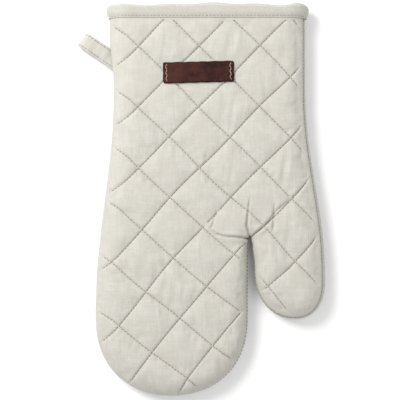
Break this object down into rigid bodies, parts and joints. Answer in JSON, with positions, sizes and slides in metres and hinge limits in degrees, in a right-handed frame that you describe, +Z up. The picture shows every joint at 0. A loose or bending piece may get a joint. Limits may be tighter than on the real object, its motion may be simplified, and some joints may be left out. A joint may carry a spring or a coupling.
{
  "type": "oven mitt",
  "caption": "Diamond-quilted linen oven mitt with a bound cuff, a stitched leather label, a tape hanging loop and a separate thumb.",
  "frame": {"origin": "on the surface the mitt lies on, under the middle of the whole object, loop included", "axes": "+Y from the finger ends to the cuff, +Z up out of the front that carries the label, +X towards the thumb"},
  "size_m": [0.2036, 0.32, 0.0271],
  "materials": {
    "linen": "off-white slubby linen, matt",
    "binding": "off-white slubby linen, matt",
    "tape": "off-white linen tape, matt",
    "wadding": "white polyester or cotton wadding",
    "lining": "plain cotton lining, matt",
    "leather": "dark brown smooth leather, satin, darker at its edges",
    "linen_thread": "off-white sewing thread",
    "label_thread": "beige-brown sewing thread"
  },
  "bodies": {
    "hand": {"front_outer_hand": "linen", "front_wadding_hand": "wadding", "front_lining_hand": "lining", "back_outer_hand": "linen", "back_wadding_hand": "wadding", "back_lining_hand": "lining", "cuff_binding": "binding", "binding_topstitch": "linen_thread", "leather_label": "leather", "label_stitch_left": "label_thread", "label_stitch_right": "label_thread", "hanging_loop_root": "tape"},
    "fingers": {"front_outer_fingers": "linen", "front_wadding_fingers": "wadding", "front_lining_fingers": "lining", "back_outer_fingers": "linen", "back_wadding_fingers": "wadding", "back_lining_fingers": "lining"},
    "thumb": {"front_outer_thumb": "linen", "front_wadding_thumb": "wadding", "front_lining_thumb": "lining", "back_outer_thumb": "linen", "back_wadding_thumb": "wadding", "back_lining_thumb": "lining"},
    "loop": {"hanging_loop": "tape"}
  },
  "joints": [
    {"name": "finger_fold", "type": "hinge", "parent": "hand", "child": "fingers", "pos_m": [-0.02402, -0.05243, 0.01115], "axis": [-1, 0, 0], "range_deg": [-45, 45], "stiffness_Nm_per_rad": 0.06},
    {"name": "thumb_fold", "type": "hinge", "parent": "hand", "child": "thumb", "pos_m": [0.03988, -0.03043, 0.01115], "axis": [-0.6884, -0.7254, 0], "range_deg": [-40, 40], "stiffness_Nm_per_rad": 0.03},
    {"name": "loop_swing", "type": "hinge", "parent": "hand", "child": "loop", "pos_m": [-0.07625, 0.11454, 0.00563], "axis": [0, 1, 0], "range_deg": [-60, 60], "stiffness_Nm_per_rad": 0.002}
  ]
}
